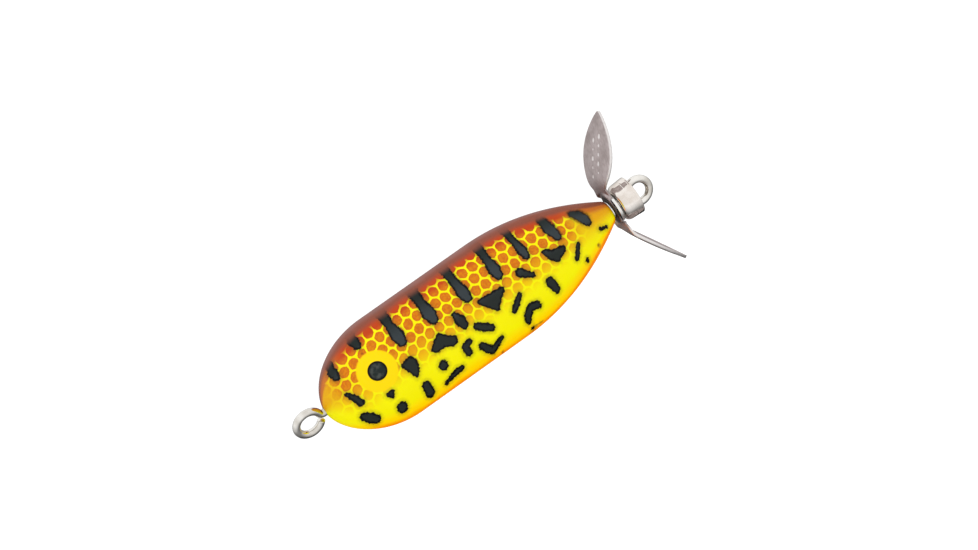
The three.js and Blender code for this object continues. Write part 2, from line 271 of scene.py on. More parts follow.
# Black patches with corners, as outlines of (x, z).
PATCHES = [
    [(13.8, -0.9), (15.2, -0.6), (15.5, -1.2), (15.4, -2.1), (14.7, -3.1), (14.2, -1.9)],
    [(18.3, -1.5), (20.0, -0.3), (20.9, -1.3), (21.7, -1.8)]
    + [(21.5, -2.4), (21.0, -2.5), (19.9, -1.9), (18.5, -1.9)],
    [(27.0, 0.2), (30.5, -0.1), (30.5, -0.4), (29.5, -1.1), (28.5, -2.1), (28.0, -1.4), (27.0, -0.1)],
    [(10.1, -2.9), (10.9, -2.9), (10.5, -3.4)],
    [(38.0, 0.6), (38.4, 0.6), (39.0, 0.0), (40.8, -0.3), (40.7, -0.7), (39.1, -1.4), (38.4, -0.6)],
]
PATCH_ROUNDING = 0.2
MARKS_BACK = 0.07  # all the black marks sit this much further to the rear
MARKS_SPREAD = 0.04  # and their edges this much further out

# Brown smudges that were only lightly sprayed, as dabs too.
SMUDGES = [
    [(45.6, -3.0, 0.27)],
    [(31.6, -6.9, 0.1), (33.3, -6.9, 0.05)],
    [(26.6, -7.2, 0.16)],
    [(10.6, 3.5, 0.13)],
]


def line_distance(x, z, start, end):
    """Distance to a straight line between two points, and the share of the way along it."""
    run_x = end[0] - start[0]
    run_z = end[1] - start[1]
    length_squared = max(run_x**2 + run_z**2, 1e-9)
    share = ((x - start[0]) * run_x + (z - start[1]) * run_z) / length_squared
    share = np.clip(share, 0, 1)
    return np.hypot(x - start[0] - share * run_x, z - start[1] - share * run_z), share


def stroke_distance(x, z, dabs):
    """Distance to the edge of a chain of joined dabs, negative inside."""
    nearest = np.full(x.shape, np.inf)
    for first, second in zip(dabs, dabs[1:] or dabs):
        gap, share = line_distance(x, z, first, second)
        radius = first[2] + share * (second[2] - first[2])
        nearest = np.minimum(nearest, gap - radius)
    return nearest


def patch_distance(x, z, outline):
    """Distance to the edge of a closed outline with rounded corners, negative inside."""
    nearest = np.full(x.shape, np.inf)
    inside = np.zeros(x.shape, bool)
    for (ax, az), (bx, bz) in zip(outline, outline[1:] + outline[:1]):
        gap, _ = line_distance(x, z, (ax, az), (bx, bz))
        nearest = np.minimum(nearest, gap)
        if az != bz:
            crosses = (az > z) != (bz > z)
            inside ^= crosses & (x < ax + (z - az) / (bz - az) * (bx - ax))
    return np.where(inside, -nearest, nearest) - PATCH_ROUNDING


def bar_dabs(top_x, foot_x, foot_z, half_width):
    """A bar as dabs: wide where it leaves the back, narrow halfway down and widest near its
    round foot."""
    top_z = 0.88 * float(body_radius(top_x))
    middle_z = foot_z + 0.55 * (top_z - foot_z)
    return [
        (top_x, top_z, 0.85 * half_width),
        (0.5 * (top_x + foot_x) - 0.08, middle_z, 0.68 * half_width),
        (foot_x, foot_z + half_width, 1.03 * half_width),
        (foot_x, foot_z - 0.1, 0.76 * half_width),
    ]


def marks_distance(x, z):
    """Distance to the nearest black mark."""
    x = x - MARKS_BACK
    strokes = STROKES + [bar_dabs(*bar) for bar in BARS]
    distances = [stroke_distance(x, z, dabs) for dabs in strokes]
    distances += [patch_distance(x, z, outline) for outline in PATCHES]
    return np.minimum.reduce(distances) - MARKS_SPREAD


def smudge_distance(x, z):
    """Distance to the nearest smudge."""
    return np.minimum.reduce([stroke_distance(x, z, dabs) for dabs in SMUDGES])


# The scale pattern was sprayed through a net held against each flank. Its rows of cells lie
# straight on the rear half. From there they rise a little and then bend down to the nose.
NET_PITCH = 1.6  # from cell to cell along a row
NET_ROW = 1.45  # from row to row
NET_CELL_X = 1.2  # where one cell of the middle row would be
NET_MIDDLE_Z = 0.15  # height of the middle row
NET_BENDS_X = (NOSE_X, 9, 13.6, 16.2, 19.5, 27.5)  # at these places the rows climb and the
NET_CLIMBS = (-2.4, -1.45, -0.6, -0.2, 0.4, 0)  # cells slide to the rear by these amounts
NET_SLIDES = (0.5, 0.5, 0.5, 0.5, 0.5, 0)


def net_place(x, z):
    """Place in the net, counted in cells along and in rows up."""
    along = (x - NET_CELL_X - np.interp(x, NET_BENDS_X, NET_SLIDES)) / NET_PITCH
    up = (z - NET_MIDDLE_Z - np.interp(x, NET_BENDS_X, NET_CLIMBS)) / NET_ROW
    return along, up


def body_outline():
    """The wall's closed outline: skin from nose to tail, tail face, then the inside back."""
    hole = WIRE_RADIUS + WIRE_ROOM
    nose = NOSE_LENGTH * (1 - np.cos(np.linspace(NOSE_START, math.pi / 2, 64)))
    straight = np.linspace(NOSE_LENGTH, BODY_LENGTH - TAIL_LENGTH, 72)[1:]
    tail = BODY_LENGTH - TAIL_LENGTH * np.linspace(1, 0.012, 84)[1:]
    skin_x = NOSE_X + np.concatenate([nose, straight, tail])
    inner_x = np.linspace(TAIL_X - WALL, NOSE_X + WALL, 40)
    skin = list(zip(skin_x, body_radius(skin_x)))
    inner = list(zip(inner_x, np.maximum(body_radius(inner_x) - WALL, hole)))
    entry = [(NOSE_X + 0.6, hole), (NOSE_X + 0.05, hole)]
    face = [(TAIL_X - 0.03, TAIL_FACE_RADIUS - 0.08), (TAIL_X, TAIL_FACE_RADIUS - 0.25)]
    face.append((TAIL_X, hole))
    return entry + skin + face + inner


def pupil_rise(x, z):
    """How far the moulded pupil stands out of the flank."""
    share = np.hypot(x - EYE_X, z - EYE_Z) / PUPIL_RADIUS
    return PUPIL_HEIGHT * np.sqrt(np.clip(1 - share**4, 0, 1))


def body_half(name, side):
    """One painted half of the body: side is -1 for the left and 1 for the right."""
    x, radius = np.array(body_outline()).T
    seam_share = np.array([0, 0.004, 0.011, 0.022, 0.04])  # narrower cells along the seam
    share = np.concatenate([seam_share, np.linspace(0.06, 0.94, 104), 1 - seam_share[::-1]])
    rows = []
    for angle in (share - 0.5) * math.pi:
        depth = radius * math.cos(angle)
        groove = SEAM_GROOVE * np.exp(-((depth / SEAM_GROOVE_WIDTH) ** 2))
        height = radius * math.sin(angle) * (1 - groove)
        on_skin = np.abs(radius - body_radius(x)) < WALL / 2
        depth = depth + np.where(on_skin, pupil_rise(x, height), 0) * (math.cos(angle) > 0.5)
        rows.append(np.stack([x, side * np.maximum(depth, SEAM_GAP / 2), height], 1))
    vertices = np.concatenate(rows)
    faces = strips(len(rows), len(x), False, True)
    joined_edges = [tuple(range(len(x))), tuple(range(len(vertices) - len(x), len(vertices)))]
    half = new_mesh(name, vertices, faces + joined_edges)
    face_outwards(half)

    x, _, z = vertices.T
    along, up = net_place(x, z)
    store(half, "height", z / np.maximum(body_radius(x), 0.3))
    store(half, "marks", marks_distance(x, z))
    store(half, "smudges", smudge_distance(x, z))
    store(half, "net_along", along)
    store(half, "net_up", up)
    return half


# ---- the screw eyes ----------------------------------------------------------------------------


def eye_path(ring_radius, point_distance):
    """Places and headings of the wire in the (x, z) plane, from the screw's point at -X,
    along the shank, round a small bend and round the ring, whose centre is the origin."""
    bend_x = -math.sqrt((ring_radius + WIRE_BEND_RADIUS) ** 2 - WIRE_BEND_RADIUS**2)
    start = math.pi - math.atan2(WIRE_BEND_RADIUS, -bend_x)
    closing = math.asin((WIRE_RADIUS + RING_END_GAP) / (ring_radius - WIRE_RADIUS))
    path = [(x, 0.0, 0.0) for x in np.linspace(-point_distance, bend_x, 180, endpoint=False)]
    for turn in np.linspace(0, start - math.pi / 2, 12, endpoint=False):
        x = bend_x + WIRE_BEND_RADIUS * math.sin(turn)
        path.append((x, WIRE_BEND_RADIUS * (1 - math.cos(turn)), turn))
    for angle in np.linspace(start, closing - math.pi, 110):
        heading = angle - math.pi / 2
        path.append((ring_radius * math.cos(angle), ring_radius * math.sin(angle), heading))
    return np.array(path)


def thread_radius(depth, angles):
    """The threaded shank's radius round one section, at a depth inside the body."""
    climb = (depth / THREAD_PITCH - angles / (2 * math.pi)) % 1
    radius = THREAD_ROOT + (THREAD_CREST - THREAD_ROOT) * (2 * climb - 1) ** 2
    return radius * min(1, (SCREW_DEPTH - depth) / SCREW_POINT + 0.02)


def screw_eye(name, ring_radius, face_distance, turn):
    """A screw eye as one wire, set in its place by turn. face_distance is from the ring's
    centre to the face that the screw enters."""
    sides = 28
    angles = np.linspace(0, 2 * math.pi, sides, endpoint=False)
    rows = []
    for x, z, heading in eye_path(ring_radius, face_distance + SCREW_DEPTH):
        depth = -x - face_distance if z == 0 else -1
        radius = np.full(sides, WIRE_RADIUS)
        if depth > THREAD_SHANK:
            radius = thread_radius(depth, angles)
        across = radius * np.cos(angles)
        section_x = x - math.sin(heading) * across
        section_z = z + math.cos(heading) * across
        rows.append(np.stack([section_x, radius * np.sin(angles), section_z], 1))
    end_middle = rows[-1].mean(0)
    onwards = end_middle - rows[-2].mean(0)
    onwards = onwards / np.linalg.norm(onwards)
    rows.append(end_middle + WIRE_END_BEVEL * onwards + WIRE_END_SHARE * (rows[-1] - end_middle))
    vertices = np.concatenate(rows)
    ends = [tuple(range(sides)), tuple(range(len(vertices) - sides, len(vertices)))]
    wire = new_mesh(name, vertices, strips(len(rows), sides, False, True) + ends)
    wire.data.transform(turn)
    face_outwards(wire)
    return wire


# ---- the pieces on the axle ----------------------------------------------------------------------


def washer(name, node, place):
    """A washer with rounded edges, between two places on the axle."""
    start, end = place
    radius = corners(node)[1].y - WASHER_EDGE
    outline = [(start, BORE_RADIUS)]
    outline += arc(start + WASHER_EDGE, radius, WASHER_EDGE, 180, 90, 4)
    outline += arc(end - WASHER_EDGE, radius, WASHER_EDGE, 90, 0, 4)
    outline += [(end, BORE_RADIUS)]
    return turned(name, outline)


def bell(name):
    """A pressed cup, open to the rear: rounded shoulder, slightly flared side, rolled rim."""
    start, end = BELL_X
    rear_radius = corners("bell_cup")[1].y
    front_radius = rear_radius - BELL_FLARE
    turn_x = start + BELL_SHOULDER
    turn_radius = front_radius - BELL_SHOULDER
    side_x = np.linspace(turn_x, end - BELL_RIM, 60)
    side = np.interp(side_x, (side_x[0], side_x[-1]), (front_radius, rear_radius))
    for forward in BELL_GROOVES:
        side = side - BELL_GROOVE_DEPTH * np.exp(-(((side_x - end + forward) / BELL_GROOVE_WIDTH) ** 2))
    outline = [(start, BORE_RADIUS), (start, BORE_RADIUS + 0.1)]
    outline += arc(turn_x, turn_radius, BELL_SHOULDER, 180, 92, 14)
    outline += list(zip(side_x, side))
    outline += arc(end - BELL_RIM, rear_radius - BELL_RIM, BELL_RIM, 85, -80, 8)
    outline += list(zip(side_x[-6::-6], side[-6::-6] - BELL_WALL))
    outline += arc(turn_x, turn_radius, BELL_SHOULDER - BELL_WALL, 90, 180, 10)
    outline += [(start + BELL_WALL, BORE_RADIUS)]
    return turned(name, outline, 128)


def blade_half_width(distance):
    """Half width of the stamped sheet at a distance from the hub's middle: hub, neck and leaf."""
    hub = math.sqrt(max(HUB_RADIUS**2 - distance**2, 0))
    share = min(max((distance - LEAF_START) / (BLADE_LENGTH - LEAF_START), 0), 1)
    leaf = BLADE_WIDTH / 2 * max(math.sin(math.pi * share**LEAF_LEAN), 0) ** LEAF_ROUNDING
    neck = NECK_HALF_WIDTH * (1 - share) ** 1.5
    return max(hub, leaf, neck, 0.03)


def dimples(distance, side):
    """Small dimples in two rows up the middle of a leaf: 1 at a dimple's middle and 0 off it."""
    share = np.zeros(side.shape)
    for k in range(DIMPLES):
        middle = FIRST_DIMPLE + DIMPLE_STEP * k
        offset = DIMPLE_ROWS[k % 2]
        size = 0.8 + 0.3 * math.sin(5 * k)
        along = (distance - middle) / (DIMPLE_LENGTH * size)
        gap = np.hypot(along, (side - offset) / (DIMPLE_WIDTH * size))
        share = np.maximum(share, np.clip(1 - gap**2, 0, 1))
    return share


def bend_share(distance):
    """How much of a blade's bend is behind a point: 0 on the hub and 1 along the leaf."""
    start, end = BLADE_BEND
    return float(eased((distance - start) / (end - start)))


def blade_sheet(sweep, neck_pitch, leaf_pitch, edge_roll, flat_radius):
    """One blade and its half of the hub, up along +Z, as rows of the sheet's rounded section.
    Gives the rows, and how much painted highlight each point gets: the dimples and the leaf's edges are
    painted brighter."""
    sweep, neck_pitch, leaf_pitch = np.radians((sweep, neck_pitch, leaf_pitch))
    across = np.sin(np.linspace(-math.pi / 2, math.pi / 2, SHEET_POINTS))
    across = np.concatenate([across, across[-2:0:-1]])
    face = np.concatenate([np.ones(SHEET_POINTS), -np.ones(SHEET_POINTS - 2)])
    face = face * np.sqrt(1 - np.abs(across) ** 24)
    hub_part = np.linspace(0, NECK_END, 24, endpoint=False)
    leaf_part = NECK_END + (BLADE_LENGTH - NECK_END) * np.sin(np.linspace(0, math.pi / 2, 130))
    path_x = path_z = last = 0.0
    rows = []
    painted_highlight = []
    for distance in np.concatenate([hub_part, leaf_part]):
        heading = sweep * bend_share((distance + last) / 2)
        path_x += (distance - last) * math.sin(heading)
        path_z += (distance - last) * math.cos(heading)
        last = distance
        bent = bend_share(distance)
        half_width = blade_half_width(distance)
        side = across * half_width
        hollow = BLADE_HOLLOW * bent * (1 - across**2) * half_width / (BLADE_WIDTH / 2)
        stamped = dimples(distance, side)
        thickness = BLADE_THICKNESS + edge_roll * bent * across**8
        off = face * thickness / 2 - hollow + DIMPLE_DEPTH * stamped
        folded = eased((np.hypot(distance, side) - flat_radius) / FOLD_WIDTH)
        twist = (neck_pitch + (leaf_pitch - neck_pitch) * bent) * folded
        rise = side * np.sin(twist) + off * np.cos(twist)
        x = path_x + rise * math.cos(sweep * bent)
        y = off * np.sin(twist) - side * np.cos(twist)
        z = path_z - rise * math.sin(sweep * bent)
        rows.append(np.stack([x, y, z], 1))
        # painted highlight: the dimples and the leaf's edges get the light colour
        painted_highlight.append(np.maximum(stamped, bent * np.abs(across) ** 16))
    return rows, painted_highlight


def propeller(name):
    """The stamped propeller: one sheet from tip to tip, bored and set loosely on the axle."""
    upper, upper_highlight = blade_sheet(*UPPER_BLADE)
    lower, lower_highlight = blade_sheet(*LOWER_BLADE)
    half_turn = np.array([1, -1, -1])
    mirrored = [*range(SHEET_POINTS - 1, -1, -1), *range(2 * SHEET_POINTS - 3, SHEET_POINTS - 1, -1)]
    rows = [row[mirrored] * half_turn for row in lower[:0:-1]] + upper
    painted_highlight = [row[mirrored] for row in lower_highlight[:0:-1]] + upper_highlight
    count = len(rows[0])
    vertices = np.concatenate(rows)
    ends = [tuple(range(count)), tuple(range(len(vertices) - count, len(vertices)))]
    sheet = new_mesh(name, vertices, strips(len(rows), count, False, True) + ends)
    # the share of painted highlight at each point of the sheet
    store(sheet, "painted_highlight", np.concatenate(painted_highlight))
    face_outwards(sheet)
    bore(sheet, PROPELLER_BORE_RADIUS)
    place = Matrix.Rotation(PROPELLER_ROLL, 4, "X")
    place.translation = Vector((HUB_X, 0, PROPELLER_LIFT)) * MM
    sheet.data.transform(place)
    return sheet


def bore(piece, radius):
    """Cuts a round hole along the X axis."""
    bpy.ops.mesh.primitive_cylinder_add(
        vertices=72, radius=radius * MM, depth=4 * MM, rotation=(0, math.pi / 2, 0)
    )
    drill = bpy.context.object
    cut = piece.modifiers.new("bore", "BOOLEAN")
    cut.operation = "DIFFERENCE"
    cut.solver = "EXACT"
    cut.object = drill
    bpy.context.view_layer.objects.active = piece
    bpy.ops.object.modifier_apply(modifier=cut.name)
    bpy.data.objects.remove(drill)


# ---- materials -----------------------------------------------------------------------------------


def paint(red, green, blue):
    """A colour from its 0 to 255 screen values."""
    shares = [value / 255 for value in (red, green, blue)]
    return (*[s / 12.92 if s <= 0.04045 else ((s + 0.055) / 1.055) ** 2.4 for s in shares], 1)


# The paint's colours. In the functions below, x is in millimetres from the nose eye, and a
# height is a share of the body's radius, from -1 at the belly to 1 at the back.
YELLOW = paint(225, 221, 0)
DEEP_YELLOW = paint(219, 208, 0)
EYE_YELLOW = paint(232, 196, 2)
GOLD = paint(206, 147, 12)
BELLY_AMBER = paint(234, 192, 0)
BELLY_ORANGE = paint(234, 130, 0)
SCALE_GOLD = paint(212, 158, 8)
SCALE_ORANGE = paint(196, 116, 10)
SCALE_RUST = paint(184, 96, 16)
SCALE_EDGE = paint(188, 86, 22)
RED = paint(170, 58, 17)
RED_AT_ENDS = paint(177, 98, 36)
BROWN = paint(128, 70, 52)
DARK_BROWN = paint(112, 60, 46)
# painted sheen along the back's ridge
RIDGE_SHEEN = paint(126, 90, 84)
SMUDGE_BROWN = paint(90, 40, 20)
HALO = paint(84, 74, 20)
INK_LOW = paint(32, 37, 35)
INK_MIDDLE = paint(48, 54, 57)
INK_HIGH = paint(26, 32, 30)
INK_HEART = paint(6, 6, 10)
PUPIL_DARK = paint(30, 37, 36)
PUPIL_LIGHT = paint(62, 66, 62)
PUPIL_RIM = paint(6, 6, 8)
# painted shade on the propeller's hub, near the axle between the washers
HUB_SHADE = paint(50, 40, 38)


class Nodes:
    """A material's node graph, put together from small expressions."""

    def __init__(self, name):
        self.material = bpy.data.materials.new(name)
        self.material.use_nodes = True
        self.tree = self.material.node_tree
        self.shader = self.tree.nodes["Principled BSDF"]
        self.place = self.add("ShaderNodeTexCoord").outputs["Object"]

    def add(self, kind, **settings):
        """A new node with its settings."""
        node = self.tree.nodes.new(kind)
        for setting, value in settings.items():
            setattr(node, setting, value)
        return node

    def feed(self, socket, value):
        """Links a socket to another node's output, or sets it to a constant."""
        if isinstance(value, bpy.types.NodeSocket):
            self.tree.links.new(value, socket)
        else:
            socket.default_value = value

    def set(self, **inputs):
        """Feeds the shader's inputs, named with underscores for spaces."""
        for name, value in inputs.items():
            self.feed(self.shader.inputs[name.replace("_", " ")], value)

    def math(self, operation, *values):
        """A number worked out from other numbers, which can be sockets or constants."""
        node = self.add("ShaderNodeMath", operation=operation)
        for socket, value in zip(node.inputs, values):
            self.feed(socket, value)
        return node.outputs[0]

    def product(self, first, *others):
        """Some numbers multiplied together."""
        for other in others:
            first = self.math("MULTIPLY", first, other)
        return first

    def swing(self, value, size):
        """Turns a number from 0 to 1 into one from minus to plus half the size."""
        return self.math("MULTIPLY_ADD", value, size, -size / 2)

    def position(self, axis):
        """The place along an axis, in millimetres."""
        split = self.add("ShaderNodeSeparateXYZ")
        self.feed(split.inputs[0], self.place)
        return self.math("DIVIDE", split.outputs[axis], MM)

    def distance(self, first, second):
        """The distance from 0 of a point that is first along one axis and second along another."""
        squares = [self.math("POWER", part, 2.0) for part in (first, second)]
        return self.math("SQRT", self.math("ADD", *squares))

    def ramp(self, value, start, end, low=0.0, high=1.0):
        """Goes smoothly from low to high while value goes from start to end."""
        node = self.add("ShaderNodeMapRange", interpolation_type="SMOOTHSTEP")
        for socket, part in zip(node.inputs, (value, start, end, low, high)):
            self.feed(socket, part)
        return node.outputs[0]

    def mix(self, share, first, second):
        """The first colour, with a share of the second over it."""
        node = self.add("ShaderNodeMix", data_type="RGBA")
        self.feed(node.inputs["Factor"], share)
        self.feed(node.inputs[6], first)
        self.feed(node.inputs[7], second)
        return node.outputs[2]

    def noise(self, grain, detail=3.0, stretch=(1, 1, 1)):
        """Soft noise from 0 to 1, with features of about grain millimetres."""
        mapping = self.add("ShaderNodeMapping")
        self.feed(mapping.inputs["Vector"], self.place)
        mapping.inputs["Scale"].default_value = stretch
        node = self.add("ShaderNodeTexNoise")
        self.feed(node.inputs["Vector"], mapping.outputs[0])
        node.inputs["Scale"].default_value = 1 / (grain * MM)
        node.inputs["Detail"].default_value = detail
        return node.outputs["Fac"]

    def measure(self, name):
        """A number kept on the mesh."""
        return self.add("ShaderNodeAttribute", attribute_name=name).outputs["Fac"]

    def bump(self, height, depth, onto=None):
        """A normal from a height between 0 and 1, with a depth in millimetres."""
        node = self.add("ShaderNodeBump")
        node.inputs["Distance"].default_value = depth * MM
        self.feed(node.inputs["Height"], height)
        if onto:
            self.feed(node.inputs["Normal"], onto)
        return node.outputs[0]


def net_cell(nodes):
    """0 in the middle of a scale and about 1 at its edge, from the place in the net. A scale is
    a hexagon with rounded corners, and every second row is half a scale further along."""
    along = nodes.math("ADD", nodes.measure("net_along"), nodes.swing(nodes.noise(1.4, 1.0), 0.24))
    up = nodes.math("MULTIPLY", nodes.measure("net_up"), 0.5)
    cells = []
    for shift in (0.0, 0.5):
        cell_along = nodes.math("WRAP", nodes.math("ADD", along, shift), 0.5, -0.5)
        cell_up = nodes.math("WRAP", nodes.math("ADD", up, shift), 0.5, -0.5)
        side = nodes.math("MULTIPLY", nodes.math("ABSOLUTE", cell_along), 2.0)
        height = nodes.math("MULTIPLY", nodes.math("ABSOLUTE", cell_up), 4 * NET_ROW / NET_PITCH)
        slope = nodes.math("MULTIPLY_ADD", side, 0.5, nodes.math("MULTIPLY", height, 0.83))
        hexagon = nodes.math("MAXIMUM", side, slope)
        disc = nodes.distance(side, height)
        cells.append(nodes.math("MULTIPLY_ADD", hexagon, 0.4, nodes.math("MULTIPLY", disc, 0.6)))
    return nodes.math("MINIMUM", *cells)


def ground_paint(nodes, x, height, cloud):
    """Yellow, with gold at both ends and an orange belly."""
    colour = nodes.mix(cloud, YELLOW, DEEP_YELLOW)
    nose = nodes.product(nodes.ramp(x, 9.5, 2.2), nodes.ramp(height, -0.5, 0.35))
    tail = nodes.product(nodes.ramp(x, 42.0, 47.0), nodes.ramp(height, -0.7, 0.2))
    colour = nodes.mix(nodes.math("MAXIMUM", nose, tail), colour, GOLD)
    belly = nodes.math("SUBTRACT", height, nodes.ramp(x, 36.0, 48.0, 0.0, 0.14))
    belly = nodes.math("ADD", belly, nodes.ramp(x, 8.0, 3.0, 0.0, 0.14))
    colour = nodes.mix(nodes.ramp(belly, -0.70, -0.93), colour, BELLY_AMBER)
    return nodes.mix(nodes.ramp(belly, -0.90, -1.0), colour, BELLY_ORANGE)


def scales_paint(nodes, colour, x, height, back, cell, mist):
    """Orange scales with bare lines between them, and red over both towards the back. The red
    starts a little higher on the lines than on the scales, most of all in mid body."""
    frayed = nodes.math("ADD", cell, nodes.swing(mist, 0.28))
    line = nodes.ramp(frayed, 0.80, 0.92)
    orange = nodes.mix(nodes.ramp(mist, 0.35, 0.65), SCALE_ORANGE, SCALE_RUST)
    scale = nodes.mix(nodes.ramp(height, -0.2, 0.25), SCALE_GOLD, orange)
    ragged = nodes.product(nodes.ramp(frayed, 0.55, 0.80, 0.0, 0.6), nodes.ramp(height, -0.2, 0.2))
    scale = nodes.mix(ragged, scale, SCALE_EDGE)

    foot = nodes.ramp(x, 7.0, 12.0, -0.62, -0.46)
    reach = nodes.product(nodes.ramp(x, 3.0, 6.4), nodes.ramp(x, 46.0, 42.5))
    reach = nodes.product(reach, nodes.ramp(height, foot, -0.08))
    colour = nodes.mix(nodes.product(nodes.math("SUBTRACT", 1.0, line), reach), colour, scale)

    spared_tail = nodes.ramp(x, 36.0, 42.0, 0.1, 0.02)
    spared_nose = nodes.ramp(x, 11.0, 7.0, 0.1, 0.05)
    spared = nodes.product(line, reach, nodes.math("MINIMUM", spared_tail, spared_nose))
    ends = nodes.math("MAXIMUM", nodes.ramp(x, 9.0, 5.5), nodes.ramp(x, 42.0, 48.0))
    red = nodes.mix(ends, RED, RED_AT_ENDS)
    red_start = nodes.ramp(x, 43.0, 48.0, 0.57, 0.38)
    reddened = nodes.ramp(nodes.math("SUBTRACT", back, spared), red_start, 0.71)
    return nodes.mix(reddened, colour, red)


def marks_paint(nodes, colour, x, height):
    """Black marks with ragged edges and a faint dark mist round them, and brown smudges. The
    bars on the taper have softer edges."""
    ragged = nodes.swing(nodes.noise(0.36, 3.0), 0.52)
    marks = nodes.math("ADD", nodes.measure("marks"), ragged)
    smudges = nodes.math("ADD", nodes.measure("smudges"), ragged)
    ink = nodes.mix(nodes.ramp(height, 0.3, 0.75), INK_MIDDLE, INK_HIGH)
    ink = nodes.mix(nodes.ramp(height, 0.2, -0.1), ink, INK_LOW)
    black = nodes.mix(nodes.ramp(marks, -0.1, -0.34), INK_HEART, ink)
    colour = nodes.mix(nodes.ramp(marks, 0.65, 0.0, 0.0, 0.36), colour, HALO)
    colour = nodes.mix(nodes.ramp(smudges, 0.2, -0.2, 0.0, 0.85), colour, SMUDGE_BROWN)
    blur = nodes.product(nodes.ramp(x, 38.0, 44.0, 0.0, 0.22), nodes.ramp(height, 0.0, 0.3))
    outside = nodes.math("ADD", 0.12, blur)
    inside = nodes.math("SUBTRACT", -0.02, blur)
    return nodes.mix(nodes.ramp(marks, outside, inside), colour, black)


def back_paint(nodes, colour, height, back, mist):
    """The brown back, with a painted sheen along its ridge that makes it paler there."""
    brown = nodes.mix(mist, BROWN, DARK_BROWN)
    # painted sheen: the ridge is paler, as if it mirrored the bright room
    brown = nodes.mix(nodes.ramp(height, 0.88, 1.0), brown, RIDGE_SHEEN)
    return nodes.mix(nodes.ramp(back, 0.74, 0.89, 0.0, 0.94), colour, brown)


def pupil_paint(nodes, colour, from_eye):
    """A cloudy grey pupil with a black rim."""
    cloudy = nodes.ramp(nodes.noise(0.8, 3.0), 0.4, 0.62)
    grey = nodes.mix(cloudy, PUPIL_DARK, PUPIL_LIGHT)
    pupil = nodes.mix(nodes.ramp(from_eye, 0.85, 1.2), grey, PUPIL_RIM)
    return nodes.mix(nodes.ramp(from_eye, 1.36, 1.26), colour, pupil)


def body_paint():
    """The body's paint, one layer over another, all under a clear gloss."""
    nodes = Nodes("painted_body")
    x = nodes.position("X")
    z = nodes.position("Z")
    cloud = nodes.noise(3.5, 4.0)
    mist = nodes.noise(0.35, 2.0)
    cell = net_cell(nodes)
    height = nodes.math("ADD", nodes.measure("height"), nodes.swing(cloud, 0.1))
    back = nodes.math("ADD", height, nodes.ramp(x, 35.0, 41.0, 0.0, 0.07))
    back = nodes.math("ADD", back, nodes.ramp(x, 44.0, 49.0, 0.0, 0.13))
    back = nodes.math("SUBTRACT", back, nodes.ramp(x, 10.0, 4.0, 0.0, 0.08))
    from_eye = nodes.distance(nodes.math("SUBTRACT", x, EYE_X), nodes.math("SUBTRACT", z, EYE_Z))

    colour = ground_paint(nodes, x, height, cloud)
    colour = scales_paint(nodes, colour, x, height, back, cell, mist)
    colour = nodes.mix(nodes.ramp(from_eye, *EYE_RING_EDGE), colour, EYE_YELLOW)
    colour = marks_paint(nodes, colour, x, height)
    colour = back_paint(nodes, colour, height, back, mist)
    colour = pupil_paint(nodes, colour, from_eye)

    relief = nodes.bump(nodes.noise(2.2, 2.0), 0.03)
    relief = nodes.bump(nodes.ramp(cell, 1.0, 0.8), 0.008, relief)
    relief = nodes.bump(mist, 0.004, relief)
    nodes.set(
        Base_Color=colour,
        Roughness=nodes.ramp(cloud, 0.3, 0.7, 0.3, 0.42),
        Specular_IOR_Level=0.0,
        Coat_Weight=0.3,
        Coat_IOR=1.4,
        Coat_Roughness=0.08,
        Normal=relief,
    )
    return nodes.material


def metal(name, light, dark, roughness, grain, stretch, depth, painted_highlight=None, shaded_hub=False):
    """Metal with grain of a size in millimetres, stretched along the way it was drawn, rolled or
    spun, and a relief of a depth in millimetres. A light colour for painted highlights goes where
    the mesh's highlight share is, and a piece with a shaded hub gets painted shade near the axle."""
    nodes = Nodes(name)
    streaks = nodes.noise(grain, 4.0, stretch)
    stains = nodes.noise(1.8, 5.0)
    scratches = nodes.noise(0.12, 2.0, stretch)
    colour = nodes.mix(nodes.ramp(stains, 0.35, 0.75), light, dark)
    colour = nodes.mix(nodes.ramp(streaks, 0.45, 0.8, 0.0, 0.35), colour, dark)
    if shaded_hub:
        # painted shade near the axle, where the hub sits between the washers
        off_axle = nodes.distance(nodes.position("Y"), nodes.position("Z"))
        colour = nodes.mix(nodes.ramp(off_axle, 2.5, 1.9, 0.0, 0.85), colour, HUB_SHADE)
    # painted highlight on the dimples and the leaf's edges
    if painted_highlight:
        highlight = nodes.ramp(nodes.measure("painted_highlight"), 0.1, 0.7, 0.0, 0.8)
        colour = nodes.mix(highlight, colour, painted_highlight)
    relief = nodes.bump(streaks, depth)
    relief = nodes.bump(scratches, depth / 3, relief)
    nodes.set(
        Base_Color=colour,
        Metallic=1.0,
        Roughness=nodes.ramp(streaks, 0.3, 0.7, roughness * 0.75, roughness * 1.35),
        Normal=relief,
    )
    return nodes.material


def wire_metal():
    """Bright plated wire, drawn along the bait."""
    light = paint(244, 241, 235)
    dark = paint(206, 200, 190)
    return metal("nickel_wire", light, dark, 0.06, 0.5, (0.4, 1, 1), 0.006)


def bell_metal():
    """Bright plated cup, spun round the axle."""
    light = paint(252, 246, 240)
    dark = paint(226, 216, 206)
    return metal("bell_metal", light, dark, 0.1, 0.4, (1, 0.25, 0.25), 0.003)


def washer_metal():
    """Bright plated washers."""
    light = paint(254, 254, 252)
    dark = paint(226, 224, 220)
    return metal("washer_metal", light, dark, 0.14, 0.3, (1, 1, 1), 0.006)


def blade_metal():
    """Dull sheet, rolled along the blades, with painted highlights on its edges and dimples."""
    light = paint(196, 184, 183)
    dark = paint(172, 160, 158)
    # the colour of the painted highlights on the edges and dimples
    highlight = paint(250, 246, 244)
    return metal("blade_metal", light, dark, 0.48, 0.25, (1, 1, 0.15), 0.007, highlight, shaded_hub=True)


